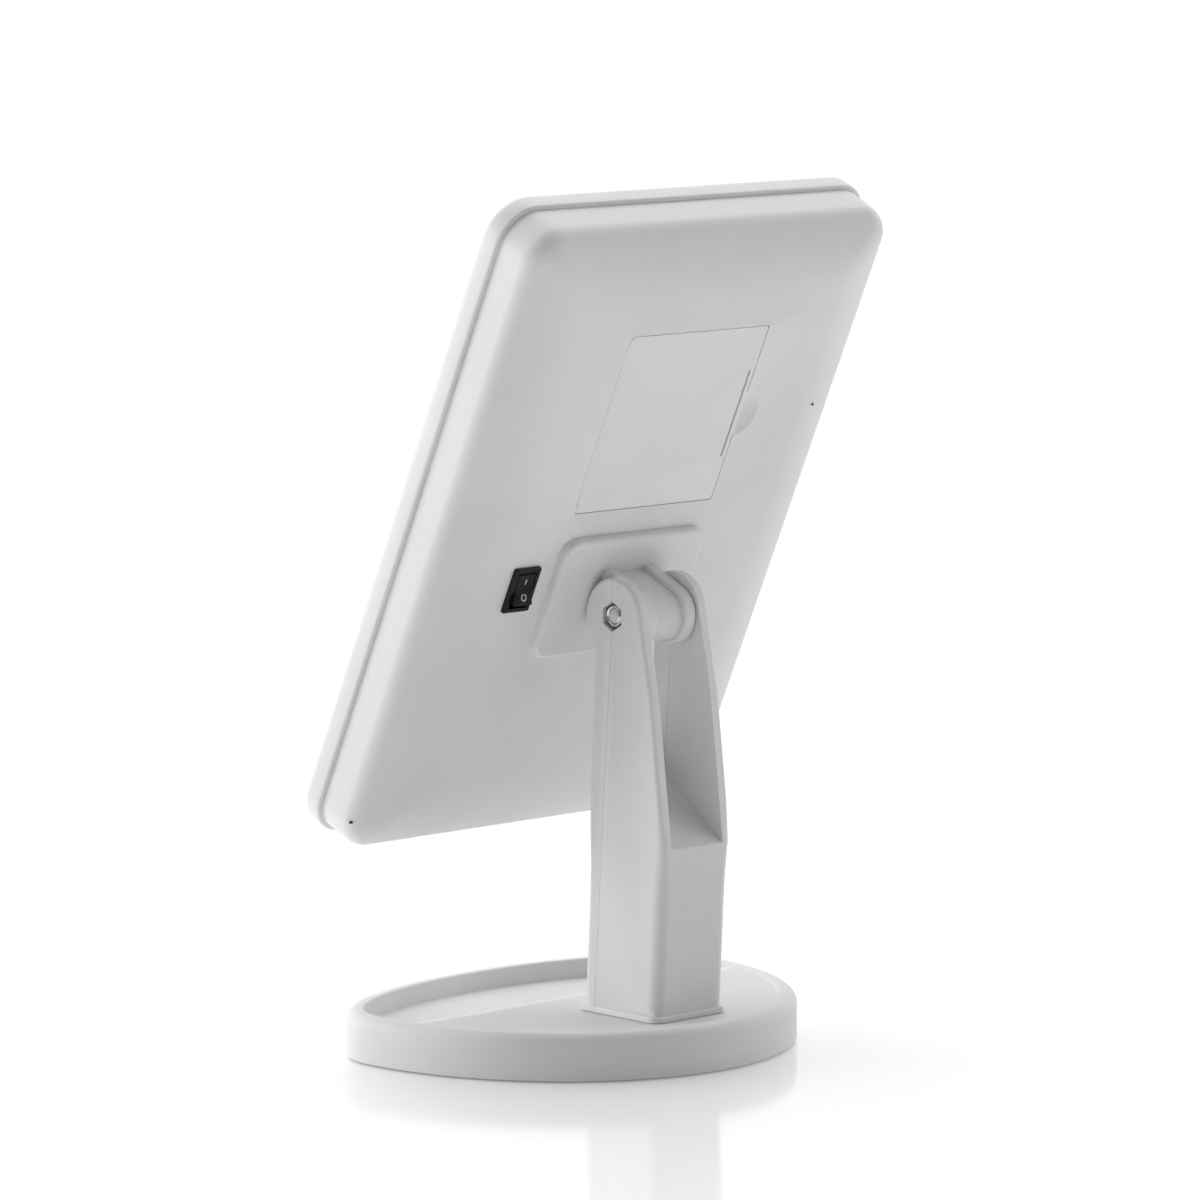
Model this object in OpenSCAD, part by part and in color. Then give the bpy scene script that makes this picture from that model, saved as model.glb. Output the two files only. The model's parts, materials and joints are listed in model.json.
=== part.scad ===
// Lit tabletop mirror: a rectangular head on a forked column over an egg-shaped tray base.
// The origin is the centre of the base's underside, +Z is up and the mirror faces -Y.
// The head's own directions are X, N (out of its back) and U (up along the mirror).

/* [Base] */
// Half-width of the egg-shaped base at its widest
base_half_w = 76.7; // [74:0.1:84]
// Half-depth of the base, front to back
base_half_d = 61.4; // [60:0.1:66]
// How far in front of the base's middle it is widest
base_wide_y = 21.9; // [18:0.1:24]
// Height of the base's rim over the surface it stands on
rim_h = 15; // [14:0.5:18]
// Width of the rim's flat band
rim_w = 6; // [5:0.5:8]
// Depth of the deck that carries the column, below the rim
deck_drop = 1; // [0.8:0.1:2]
// Depth of the front tray floor, below the rim
floor_drop = 6.4; // [5:0.1:7]

/* [Column] */
// Half-width of the column across its outer faces
column_half_w = 14.9; // [14:0.1:17]
// Thickness of each fork arm
arm_t = 3.8; // [3.5:0.1:4.2]
// Radius of each fork arm's round end
arm_r = 12; // [11:0.1:12]
// Wall thickness of the column shells
column_wall = 2.2; // [1.8:0.1:2.6]
// Height of the lip where the scooped pocket starts
lip_h = 68.4; // [62:0.1:75]

/* [Hinge] */
// Height of the hinge axis
hinge_z = 139.2; // [132:0.1:150]
// Distance of the hinge axis behind the middle of the base
hinge_y = 24.5; // [20:0.5:26]
// Backward lean of the head at rest, in degrees
tilt = 24.6; // [10:0.1:40]
// Diameter of the hinge bolt
bolt_d = 5; // [4:0.5:5]

/* [Head] */
// Width of the rear shell
shell_w = 152.8; // [148:0.2:158]
// Height of the rear shell
shell_h = 217; // [210:0.5:225]
// Corner radius of the rear shell
shell_r = 11.5; // [9:0.5:14]
// How far the bezel stands proud of the shell all round
bezel_proud = 1.5; // [1:0.1:2]
// Thickness of the bezel, front to back
bezel_t = 8; // [7:0.1:9]
// Wall thickness of the rear shell
shell_wall = 2; // [1.8:0.1:2.2]
// Width of the battery door
door_w = 59; // [58.6:0.1:60]
// Height of the battery door
door_h = 61.6; // [61:0.1:62]

/* [Switch] */
// Width of the switch bezel
switch_w = 11; // [10:0.1:12]
// Height of the switch bezel
switch_h = 15.6; // [15:0.1:17]
// Angle that the rocker turns between its two positions
rocker_throw = 26; // [16:1:28]

/* [Hidden] */

$fn = 64;
fine = 0.05;            // gap between fixed pieces that lie against each other
gap = 0.2;              // gap round pieces that come out
base_steps = 96;        // sides of the polygon that stands for the base's outline

// Base levels
foot_out = 0.5;
cover_t = 2;
cover_top = foot_out + cover_t;
deck_z = rim_h - deck_drop;
floor_z = rim_h - floor_drop;
skin = 2;               // thickness of the tray floor and deck
deck_front_y = -10;
foot_spots = [[50, -42], [38, 38]];
foot_r = 5;
foot_sunk = 0.8;        // depth of each foot's recess in the cover
side_wall = 3;          // thickness of the base's side wall below the rim
front_screw_spot = [58, -24];
rear_screw_spot = [50, 24];
ballast_y = -22;
ballast_half_w = 50;
ballast_half_d = 30;
ballast_r = 22;

// Column side view, measured from the hinge axis
foot_front = -14.2;
foot_rear = 19.7;
lip_rear = 22.6;
arm_rear = 17;
arm_rear_z = hinge_z - 24.3;
neck_front = -7.3;
seam_foot = -8;
flange_h = 2;
flange_out = 1;
ramp_rise = 25;         // height that the pocket's ramp gains from lip to front
arm_in = column_half_w - arm_t;
column_z = deck_z + fine;
column_screw_x = 8.6;
column_screw_y = [hinge_y - 2, hinge_y + 13];

// Hinge
bolt_r = bolt_d / 2;
bore_r = bolt_r + 0.05;
pocket_depth = 2.9;
nut_corner_r = 4.6;
washer_t = 0.4;
ear_out = arm_in - washer_t - 2 * fine;
ear_r = 9.5;
ear_shift = 1.9;        // centre of the ear's round end, behind the hinge axis
ear_t = 4.6;
barrel_r = ear_r - 1.6;
plate_top_n = -(arm_r + 0.4);
plate_t = 2.8;
plate_half_w = 30;
plate_u = [-21.6, 20.3];
plate_r = 6;

// Head levels along N, from the back to the front
back_n = plate_top_n - plate_t;
groove_n = back_n - 19.9;
front_n = groove_n - bezel_t;
lip_t = 1.5;
glass_t = 3;
glass_front_n = front_n + lip_t + fine;
glass_back_n = glass_front_n + glass_t;
carrier_t = 1.6;
carrier_back_n = glass_back_n + fine + carrier_t;
board_t = 1.2;
led_h = 1.2;

wall_l = 11.6;          // straight part of the shell's wall
wall_draft = 0.3;
edge_r = 4.2;           // radius of the shell's edge
edge_angle = 62;        // angle that the edge turns before the crown takes over
crown_r = (back_n - groove_n - wall_l - edge_r * sin(edge_angle)) / (1 - sin(edge_angle));

head_u = 17.3;          // middle of the head above the hinge axis
head_half_w = shell_w / 2;
head_half_h = shell_h / 2;
bezel_half_w = head_half_w + bezel_proud;
bezel_half_h = head_half_h + bezel_proud;
bezel_rim = 7;
glass_half_w = bezel_half_w - bezel_rim + 2;
glass_half_h = bezel_half_h - bezel_rim + 2;
strip_w = 11;
strip_x = glass_half_w - strip_w / 2 - 3;
strip_half_h = 88;
led_count = 11;
led_pitch = 15.5;
pad_r = 6;
pad_u = head_u - bezel_half_h + 19;

// Electronics
control_board_w = 46;
control_board_h = 30;
control_board_t = 1.6;
chip_size = 8;
capacitor_r = 3;
capacitor_h = 6.4;
wire_r = 0.8;
wire_n = carrier_back_n + 3;
wire_x = 36;            // distance of each riser from the middle
wire_u = [pad_u + 24, head_u + 76];
wire_out = strip_x - 4;

// Battery compartment
door_u = 60;
door_t = 1.8;
cell_r = 7.15;
cell_l = 50.5;
cell_pitch = 14.5;
cell_n = back_n - shell_wall - 0.7 - cell_r;
cell_tray_wall = 1.4;
cell_tray_half_w = door_w / 2;
cell_tray_half_h = door_h / 2 - 0.2;
cell_tray_n = cell_n - cell_r - 0.5;
latch_x = -(door_w / 2 - 2);
latch_half = 15.3;
finger_r = 22.1;        // radius of the ball that hollows the finger recess
finger_depth = 1.5;

// Switch
switch_x = 42.2;
switch_u = 3.9;
switch_out = 1.3;
switch_depth = 12;
switch_body_w = 8.8;
switch_body_h = 13.4;
rocker_w = 7;
rocker_well_half = 6.2; // half-height of the well that the rocker turns in
rocker_n = back_n - 1.6;

// Screws
boss_r = 3.2;
pilot_r = 1.1;
// Each spot is X, U and how far its boss stops short of the shell's flat back.
carrier_screw_spots = [for (x = [-1, 1])
  each [[x * 66, -76, 5], [x * 66, 110.6, 5], [x * 54, 17.3, 1]]];
bracket_screw_x = 22;
bracket_screw_u = [-15, 13];

white_plastic = [0.93, 0.93, 0.92];
black_plastic = [0.05, 0.05, 0.05];
steel = [0.7, 0.7, 0.72];

// ---------- shared shapes ----------

// Outline of the base, smaller all round by inset: half an ellipse in front, a longer one behind.
module base_outline(inset) {
  rear = base_half_d + base_wide_y - inset;
  front = base_half_d - base_wide_y - inset;
  polygon([for (i = [0 : base_steps - 1]) let (angle = 360 * i / base_steps)
    [(base_half_w - inset) * cos(angle),
     (angle < 180 ? rear : front) * sin(angle) - base_wide_y]]);
}

// Rectangle with round corners, centred.
module round_rect(half_w, half_h, r) {
  square([2 * half_w, 2 * (half_h - r)], center = true);
  square([2 * (half_w - r), 2 * half_h], center = true);
  for (x = [-1, 1], y = [-1, 1])
    translate([x * (half_w - r), y * (half_h - r)]) circle(r);
}

// Places children in the head's directions: their Y runs along N and their Z along U.
module in_head() {
  translate([0, hinge_y, hinge_z]) rotate([-tilt, 0, 0]) children();
}

// Extrudes a shape drawn in X and U from n_low to n_high.
module slab(n_low, n_high) {
  translate([0, n_high, 0]) rotate([90, 0, 0]) linear_extrude(n_high - n_low) children();
}

// Block from one corner to the opposite one.
module block(low, high) {
  translate(low) cube(high - low);
}

// Rod along X, centred on a point in the side view.
module rod_x(x_low, x_high, r) {
  translate([x_low, 0, 0]) rotate([0, 90, 0]) cylinder(h = x_high - x_low, r = r);
}

// Rod along N between two levels.
module rod_n(x, u, n_low, n_high, r) {
  translate([x, n_high, u]) rotate([90, 0, 0]) cylinder(h = n_high - n_low, r = r);
}

// Screw along Z with its head below z = 0 and its shank above.
module screw(head_r, head_h, shank_r, shank_l) {
  translate([0, 0, -head_h]) cylinder(h = head_h, r = head_r);
  cylinder(h = shank_l, r = shank_r);
}

// ---------- base ----------

// Places children at each spot given and at its mirror image.
module both_sides(spots) {
  for (side = [-1, 1], spot = spots) translate([side * spot[0], spot[1], 0]) children();
}

module cover_screw_spots() {
  both_sides([front_screw_spot, rear_screw_spot]) children();
}

module column_screw_spots() {
  both_sides([for (y = column_screw_y) [column_screw_x, y]]) children();
}

// Plate of the base's outline between two levels, smaller all round by inset.
module base_plate(z_low, z_high, inset) {
  translate([0, 0, z_low]) linear_extrude(z_high - z_low) base_outline(inset);
}

// Everything behind a line across the base, as a block.
module behind(y) {
  block([-2 * base_half_w, y, -rim_h], [2 * base_half_w, y + 2 * base_half_w, 3 * rim_h]);
}

module base_tray() {
  color(white_plastic) difference() {
    union() {
      difference() {
        union() {
          base_plate(foot_out, rim_h - 2.4, 0);
          base_plate(rim_h - 2.5, rim_h - 0.8, 0.5);
          base_plate(rim_h - 0.9, rim_h, 1.7);
        }
        base_plate(deck_z, 2 * rim_h, rim_w);
        difference() {
          base_plate(floor_z, deck_z + 1, rim_w);
          behind(deck_front_y);
        }
        base_plate(-1, floor_z - skin, side_wall);
        intersection() {
          base_plate(floor_z - skin - 1, deck_z - skin, side_wall + 0.6);
          behind(deck_front_y + skin);
        }
      }
      cover_screw_spots() translate([0, 0, cover_top + fine])
        cylinder(h = floor_z - cover_top - 1, r = boss_r + 1);
      both_sides([rear_screw_spot]) translate([0, 0, floor_z - skin - 1])
        cylinder(h = deck_z - floor_z + 1.6, r = boss_r + 1);
    }
    cover_screw_spots() translate([0, 0, -1]) cylinder(h = cover_top + 4.4, r = pilot_r);
    column_screw_spots() cylinder(h = 2 * rim_h, r = 1.7);
  }
}

module base_cover() {
  color(white_plastic) difference() {
    base_plate(foot_out, cover_top, side_wall + gap);
    both_sides(foot_spots) cylinder(h = foot_out + foot_sunk, r = foot_r + fine);
    cover_screw_spots() cylinder(h = 2 * rim_h, r = 1.5);
    cover_screw_spots() cylinder(h = foot_out + 1.2, r = 2.7);
    column_screw_spots() cylinder(h = 2 * rim_h, r = 4);
  }
}

module ballast() {
  color(steel) translate([0, ballast_y, cover_top + fine])
    linear_extrude(floor_z - skin - cover_top - 2 * fine)
      round_rect(ballast_half_w, ballast_half_d, ballast_r);
}

module base_feet() {
  color("dimgray") both_sides(foot_spots)
    cylinder(h = foot_out + foot_sunk - fine, r = foot_r);
}

module cover_screws() {
  color(steel) cover_screw_spots() translate([0, 0, foot_out + 1.2 - fine])
    screw(2.5, 1, pilot_r, 4);
}

module column_screws() {
  color(steel) column_screw_spots() translate([0, 0, deck_z - skin - fine])
    screw(3, 1.6, 1.3, skin + 11);
}

// ---------- column ----------

// Side view of the column, in Y and Z, without the round arm ends.
module column_side() {
  polygon([[hinge_y + foot_front, column_z], [hinge_y + foot_rear, column_z],
           [hinge_y + lip_rear, lip_h], [hinge_y + arm_rear, arm_rear_z],
           [hinge_y + arm_r * cos(10), hinge_z + arm_r * sin(10)],
           [hinge_y, hinge_z], [hinge_y + neck_front, hinge_z]]);
}

module column_profile() {
  column_side();
  translate([hinge_y, hinge_z]) circle(arm_r);
}

// Extrudes a side view drawn in Y and Z between two X values.
module side_slab(x_low, x_high) {
  translate([x_low, 0, 0]) rotate([90, 0, 90]) linear_extrude(x_high - x_low) children();
}

// Outline of the foot flange in X and Y.
module flange_outline() {
  translate([0, hinge_y + (foot_front + foot_rear) / 2])
    square([2 * (column_half_w + flange_out),
            foot_rear - foot_front + 2 * flange_out], center = true);
}

// Everything above the ramp and between the arms.
module fork_slot() {
  side_slab(-arm_in, arm_in) polygon([
    [hinge_y + lip_rear + 1, lip_h - 0.8], [hinge_y + lip_rear + 1, hinge_z + 2 * arm_r],
    [hinge_y - 2 * arm_r, hinge_z + 2 * arm_r], [hinge_y - 2 * arm_r, lip_h + ramp_rise + 10],
    [hinge_y + neck_front - 3, lip_h + ramp_rise]]);
}

// Hollow inside the column below the ramp.
module column_hollow() {
  inside = column_half_w - column_wall;
  side_slab(-inside, inside) polygon([
    [hinge_y + foot_front + column_wall, column_z - 1],
    [hinge_y + foot_rear - column_wall, column_z - 1],
    [hinge_y + lip_rear - column_wall - 0.7, lip_h - 4],
    [hinge_y + neck_front + column_wall - 2, lip_h + ramp_rise - 4.5]]);
}

// Region behind the seam between the two column shells, in the side view.
module behind_seam(shift) {
  polygon([[hinge_y + seam_foot + shift, column_z - 5], [hinge_y + shift, hinge_z],
           [hinge_y + shift, hinge_z + 50], [hinge_y + 80, hinge_z + 50],
           [hinge_y + 80, column_z - 5]]);
}

module column_body() {
  difference() {
    union() {
      side_slab(-column_half_w, column_half_w) column_profile();
      translate([0, 0, column_z]) linear_extrude(flange_h) flange_outline();
    }
    fork_slot();
    column_hollow();
    translate([0, hinge_y, hinge_z]) {
      rod_x(-2 * column_half_w, 2 * column_half_w, bore_r);
      rod_x(-2 * column_half_w, -column_half_w + pocket_depth, 5);
      translate([column_half_w - pocket_depth, 0, 0]) rotate([0, 90, 0])
        cylinder(h = 10, r = nut_corner_r + 0.15, $fn = 6);
    }
  }
}

module column_rear_shell() {
  color(white_plastic) difference() {
    union() {
      intersection() {
        column_body();
        side_slab(-50, 50) behind_seam(fine);
      }
      column_screw_spots() translate([0, 0, column_z]) cylinder(h = 14, r = 3.4);
      for (x = [-1, 1], y = column_screw_y)
        block([min(x * column_screw_x, x * (column_half_w - 1)), y - 1, column_z],
              [max(x * column_screw_x, x * (column_half_w - 1)), y + 1, column_z + 14]);
    }
    column_screw_spots() translate([0, 0, column_z - 1]) cylinder(h = 13.5, r = 1.3);
  }
}

module column_front_shell() {
  color(white_plastic) intersection() {
    column_body();
    difference() {
      block([-50, hinge_y - 50, 0], [50, hinge_y + 50, hinge_z + 50]);
      side_slab(-51, 51) behind_seam(-fine);
    }
  }
}

// ---------- hinge ----------

module hinge_bolt() {
  color(steel) translate([0, hinge_y, hinge_z]) {
    rod_x(-column_half_w + pocket_depth - 0.4, column_half_w - 0.8, bolt_r);
    rod_x(-column_half_w + 0.3, -column_half_w + pocket_depth - fine, 4.6);
  }
}

module hinge_nut() {
  color(steel) translate([0, hinge_y, hinge_z]) difference() {
    union() {
      translate([column_half_w - pocket_depth + fine, 0, 0]) rotate([0, 90, 0])
        cylinder(h = 1.5, r = nut_corner_r, $fn = 6);
      rod_x(column_half_w - pocket_depth + 1, column_half_w - 0.6, 3.4);
    }
    rod_x(0, 2 * column_half_w, bolt_r);
  }
}

module hinge_washers() {
  color(steel) for (side = [-1, 1])
    translate([side * (arm_in - washer_t / 2 - fine), hinge_y, hinge_z]) difference() {
      rod_x(-washer_t / 2, washer_t / 2, 6);
      rod_x(-washer_t, washer_t, bore_r);
    }
}

// Side view of a hinge ear: a round end with straight sides down to the plate.
module ear_side(r) {
  translate([ear_shift, 0]) circle(r);
  translate([plate_top_n - 0.5, -r]) square([ear_shift - plate_top_n + 0.5, 2 * r]);
}

module tilt_bracket() {
  color(white_plastic) in_head() difference() {
    union() {
      translate([0, 0, (plate_u[0] + plate_u[1]) / 2]) slab(back_n + fine, plate_top_n)
        round_rect(plate_half_w, (plate_u[1] - plate_u[0]) / 2, plate_r);
      side_slab(-ear_out, ear_out) ear_side(barrel_r);
      for (side = [-1, 1])
        side_slab(side * (ear_out - ear_t / 2) - ear_t / 2, side * (ear_out - ear_t / 2) + ear_t / 2)
          ear_side(ear_r);
    }
    rod_x(-50, 50, bore_r);
    for (x = [-1, 1], u = bracket_screw_u)
      rod_n(x * bracket_screw_x, u, back_n - 1, plate_top_n - 0.8, pilot_r);
  }
}

module bracket_screws() {
  color(steel) in_head() for (x = [-1, 1], u = bracket_screw_u) {
    rod_n(x * bracket_screw_x, u, back_n - shell_wall, plate_top_n - 1, pilot_r);
    rod_n(x * bracket_screw_x, u, back_n - shell_wall - 1.6, back_n - shell_wall - fine, 2.8);
  }
}

// ---------- head ----------

// Levels of the pan: its straight wall, its round edge and its crown, as N and inset.
function pan_levels() = let (edge_n = groove_n + wall_l, edge_end = edge_angle)
  [[groove_n + 0.05, 0], [edge_n, wall_draft],
   for (angle = [edge_end / 3 : edge_end / 3 : edge_end])
     [edge_n + edge_r * sin(angle), wall_draft + edge_r * (1 - cos(angle))],
   for (angle = [edge_end + 7 : 7 : 90])
     [back_n - crown_r * (1 - sin(angle)),
      wall_draft + edge_r * (1 - cos(edge_end)) + crown_r * (cos(edge_end) - cos(angle))]];

// Crowned pan shape, grown inward by inset.
module pan(inset) {
  translate([0, 0, head_u]) hull() for (level = pan_levels())
    slab(level[0] - inset - 0.05, level[0] - inset)
      round_rect(head_half_w - level[1] - inset, head_half_h - level[1] - inset, shell_r - inset);
}

module rear_shell() {
  color(white_plastic) in_head() difference() {
    union() {
      difference() {
        pan(0);
        pan(shell_wall);
      }
      for (spot = carrier_screw_spots)
        rod_n(spot[0], spot[1], carrier_back_n + fine, back_n - spot[2], boss_r);
    }
    translate([0, 0, door_u]) slab(back_n - shell_wall - 1, back_n + 1)
      square([door_w + 2 * gap, door_h + 2 * gap], center = true);
    translate([switch_x, 0, switch_u]) slab(back_n - 5, back_n + 1)
      square([switch_body_w + 0.1, switch_body_h + 0.1], center = true);
    for (x = [-1, 1], u = bracket_screw_u)
      rod_n(x * bracket_screw_x, u, back_n - 5, back_n + 1, 1.5);
    for (spot = carrier_screw_spots)
      rod_n(spot[0], spot[1], groove_n - 9, groove_n + 9, pilot_r);
    translate([-door_w / 2, back_n + finger_r - finger_depth, door_u]) sphere(r = finger_r);
  }
}

module front_bezel() {
  color(white_plastic) in_head() translate([0, 0, head_u]) difference() {
    union() {
      slab(groove_n - 1.2, groove_n - fine) round_rect(bezel_half_w - 0.6, bezel_half_h - 0.6, 12.4);
      slab(groove_n - 6.6, groove_n - 1.2) round_rect(bezel_half_w, bezel_half_h, 13);
      slab(front_n, groove_n - 6.6) round_rect(bezel_half_w - 0.8, bezel_half_h - 0.8, 12.2);
      slab(groove_n - fine, groove_n + 3)
        round_rect(head_half_w - shell_wall - 0.15, head_half_h - shell_wall - 0.15, 9.3);
    }
    slab(front_n - 1, groove_n + 9)
      round_rect(bezel_half_w - bezel_rim, bezel_half_h - bezel_rim, 7);
    slab(front_n + lip_t, groove_n + 9)
      round_rect(glass_half_w + fine, glass_half_h + fine, 8);
  }
}

module backing_plate() {
  color("gainsboro") in_head() difference() {
    translate([0, 0, head_u]) slab(glass_back_n + fine, carrier_back_n)
      round_rect(glass_half_w, glass_half_h, 8);
    for (x = [-1, 1]) translate([x * strip_x, 0, head_u])
      slab(glass_back_n - 1, carrier_back_n + 1) square([6, 2 * strip_half_h - 6], center = true);
    rod_n(0, pad_u, glass_back_n - 1, carrier_back_n + 1, 3);
    for (spot = carrier_screw_spots) {
      rod_n(spot[0], spot[1], glass_back_n - 1, carrier_back_n + 1, 1.3);
      rod_n(spot[0], spot[1], glass_back_n - 1, carrier_back_n - 0.7, 2.5);
    }
  }
}

module carrier_screws() {
  color(steel) in_head() for (spot = carrier_screw_spots) {
    rod_n(spot[0], spot[1], glass_back_n + 2 * fine, carrier_back_n - 0.7, 2.4);
    rod_n(spot[0], spot[1], carrier_back_n - 0.7, groove_n + 8, pilot_r);
  }
}

module mirror_glass() {
  color("lightblue") in_head() difference() {
    translate([0, 0, head_u]) slab(glass_front_n, glass_back_n)
      round_rect(glass_half_w, glass_half_h, 8);
    for (x = [-1, 1]) translate([x * strip_x, 0, head_u])
      slab(glass_front_n - 1, glass_back_n + 1)
        round_rect(strip_w / 2 + fine, strip_half_h + fine, strip_w / 2);
    rod_n(0, pad_u, glass_front_n - 1, glass_back_n + 1, pad_r + fine);
  }
}

module light_diffusers() {
  color("white") in_head() for (x = [-1, 1]) translate([x * strip_x, 0, head_u])
    slab(glass_front_n, glass_back_n) round_rect(strip_w / 2, strip_half_h, strip_w / 2 - 0.01);
}

module led_strips() {
  color("green") in_head() for (x = [-1, 1]) translate([x * strip_x, 0, head_u])
    slab(carrier_back_n + fine, carrier_back_n + board_t)
      square([9, 2 * strip_half_h - 2], center = true);
}

module leds() {
  color("gold") in_head() for (x = [-1, 1], i = [0 : led_count - 1])
    translate([x * strip_x, 0, head_u + (i - (led_count - 1) / 2) * led_pitch])
      slab(carrier_back_n - led_h, carrier_back_n) square([3.5, 2.8], center = true);
}

module touch_pad() {
  color("silver") in_head() {
    rod_n(0, pad_u, glass_front_n, glass_back_n, pad_r);
    rod_n(0, pad_u, glass_back_n, carrier_back_n, 2.9);
  }
}

// Board with a driver chip and two capacitors on its back.
module control_board() {
  board_n = carrier_back_n + control_board_t;
  color("green") in_head() translate([0, 0, pad_u + control_board_h / 2 - 7]) {
    slab(carrier_back_n + fine, board_n) square([control_board_w, control_board_h], center = true);
    translate([-chip_size, 0, 2]) slab(board_n, board_n + 1.6) square(chip_size, center = true);
    for (x = [6, 14]) rod_n(x, -4, board_n, board_n + capacitor_h, capacitor_r);
  }
}

// ---------- battery compartment ----------

module cell_spots() {
  for (i = [-1.5 : 1 : 1.5]) translate([i * cell_pitch, 0, 0]) children();
}

module battery_tray() {
  color(white_plastic) in_head() translate([0, 0, door_u]) difference() {
    slab(cell_tray_n - cell_tray_wall, back_n - shell_wall - fine)
      square([2 * (cell_tray_half_w + cell_tray_wall), 2 * (cell_tray_half_h + cell_tray_wall)], center = true);
    slab(cell_tray_n, back_n) square([2 * cell_tray_half_w, 2 * cell_tray_half_h], center = true);
  }
}

module batteries() {
  color("dimgray") in_head() cell_spots() translate([0, cell_n, door_u - cell_l / 2]) {
    cylinder(h = cell_l - 1.2, r = cell_r);
    cylinder(h = cell_l, r = 2.75);
  }
}

module battery_contacts() {
  spring_room = cell_tray_half_h - cell_l / 2;
  color(steel) in_head() translate([0, cell_n, door_u]) cell_spots() {
    for (side = [-1, 1]) translate([-5, -5, side * (cell_tray_half_h - 0.3) - 0.25])
      cube([10, 10, 0.5]);
    translate([0, 0, -cell_tray_half_h + 0.6]) cylinder(h = spring_room - 0.65, r = 2.6);
    translate([0, 0, cell_l / 2 + fine]) cylinder(h = spring_room - 0.65, r = 1.8);
  }
}

module battery_door() {
  color(white_plastic) in_head() difference() {
    translate([0, 0, door_u]) slab(back_n - door_t, back_n)
      square([door_w, door_h], center = true);
    translate([latch_x, 0, door_u]) slab(back_n - door_t - 1, back_n + 1)
      square([0.8, 2 * latch_half], center = true);
  }
}

// Leads inside the head, as straight runs of round wire behind the carrier: up from the control
// board on both sides of the battery tray and out to the two LED strips.
module wires() {
  color("red") in_head() translate([0, wire_n, 0]) {
    translate([0, 0, wire_u[0]]) rod_x(-wire_x, wire_x, wire_r);
    for (side = [-1, 1]) {
      translate([side * wire_x, 0, wire_u[0]]) cylinder(h = wire_u[1] - wire_u[0], r = wire_r);
      translate([side * (wire_x + wire_out) / 2, 0, wire_u[1]])
        rod_x((wire_x - wire_out) / 2, (wire_out - wire_x) / 2, wire_r);
    }
  }
}

// ---------- switch ----------

module switch_housing() {
  color(black_plastic) in_head() translate([switch_x, 0, switch_u]) difference() {
    union() {
      slab(back_n + fine, back_n + 0.6) round_rect(switch_w / 2, switch_h / 2, 0.8);
      slab(back_n + 0.6, back_n + switch_out) round_rect(switch_w / 2 - 0.5, switch_h / 2 - 0.5, 0.6);
      slab(back_n - switch_depth, back_n + 0.3) square([switch_body_w, switch_body_h], center = true);
    }
    slab(back_n - 6.4, back_n + 5) square([rocker_w + 0.6, 2 * rocker_well_half], center = true);
  }
}

module switch_terminals() {
  color("gold") in_head() for (u = [-3.5, 3.5]) translate([switch_x, 0, switch_u + u])
    slab(back_n - switch_depth - 4.5, back_n - switch_depth - fine)
      square([4.6, 0.8], center = true);
}

// Rocker drawn in N and U from its pivot, with two faces in a shallow V and its upper end pressed.
module switch_rocker() {
  color(black_plastic) in_head() translate([switch_x, rocker_n, switch_u])
    rotate([rocker_throw / 2, 0, 0]) side_slab(-rocker_w / 2, rocker_w / 2)
      polygon([[-1.6, -4], [1, -5.2], [4.2, -5], [3, 0], [4.2, 5], [1, 5.2], [-1.6, 4]]);
}

base_tray();
base_cover();
ballast();
base_feet();
cover_screws();
column_screws();
column_rear_shell();
column_front_shell();
hinge_bolt();
hinge_nut();
hinge_washers();
tilt_bracket();
bracket_screws();
rear_shell();
front_bezel();
carrier_screws();
backing_plate();
mirror_glass();
light_diffusers();
led_strips();
leds();
touch_pad();
control_board();
battery_tray();
battery_contacts();
batteries();
wires();
battery_door();
switch_housing();
switch_terminals();
switch_rocker();
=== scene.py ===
"""Looks of a lit tabletop mirror: white moulded shells, silvered glass and the pieces inside.

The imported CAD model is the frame. Every length here is in millimetres until a mesh is made.
Pieces of the head are built in its own directions: X, N (out of its back) and U (up the mirror).
"""
import json
import math
import bmesh
import bpy
from mathutils import Matrix, Vector


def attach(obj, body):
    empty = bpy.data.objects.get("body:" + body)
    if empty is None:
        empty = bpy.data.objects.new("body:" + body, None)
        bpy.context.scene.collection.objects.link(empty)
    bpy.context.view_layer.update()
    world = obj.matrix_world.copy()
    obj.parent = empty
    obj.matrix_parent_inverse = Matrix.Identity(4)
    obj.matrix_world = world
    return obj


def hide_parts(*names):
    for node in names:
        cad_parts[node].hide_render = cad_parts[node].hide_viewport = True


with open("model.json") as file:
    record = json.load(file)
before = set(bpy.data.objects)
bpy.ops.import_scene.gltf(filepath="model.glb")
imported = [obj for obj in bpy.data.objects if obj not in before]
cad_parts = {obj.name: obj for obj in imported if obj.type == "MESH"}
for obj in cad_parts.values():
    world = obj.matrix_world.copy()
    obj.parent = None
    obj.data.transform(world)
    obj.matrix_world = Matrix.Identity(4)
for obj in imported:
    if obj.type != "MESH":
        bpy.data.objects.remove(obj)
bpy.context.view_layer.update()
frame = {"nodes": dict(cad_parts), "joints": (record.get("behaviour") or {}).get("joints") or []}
nodes = frame["nodes"]
joints = {joint["name"]: joint for joint in frame["joints"]}
MM = 0.001

# ---------------------------------------------------------------- places from the frame

hinge = Vector(joints["head_tilt"]["pos_m"]) / MM
N_AXIS = Vector(joints["door_lift"]["axis"]).normalized()
U_AXIS = Vector((1, 0, 0)).cross(N_AXIS)
HEAD = Matrix.Translation(hinge) @ Matrix((
    (1, N_AXIS.x, U_AXIS.x, 0), (0, N_AXIS.y, U_AXIS.y, 0), (0, N_AXIS.z, U_AXIS.z, 0), (0, 0, 0, 1)))
WORLD = Matrix.Identity(4)


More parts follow.
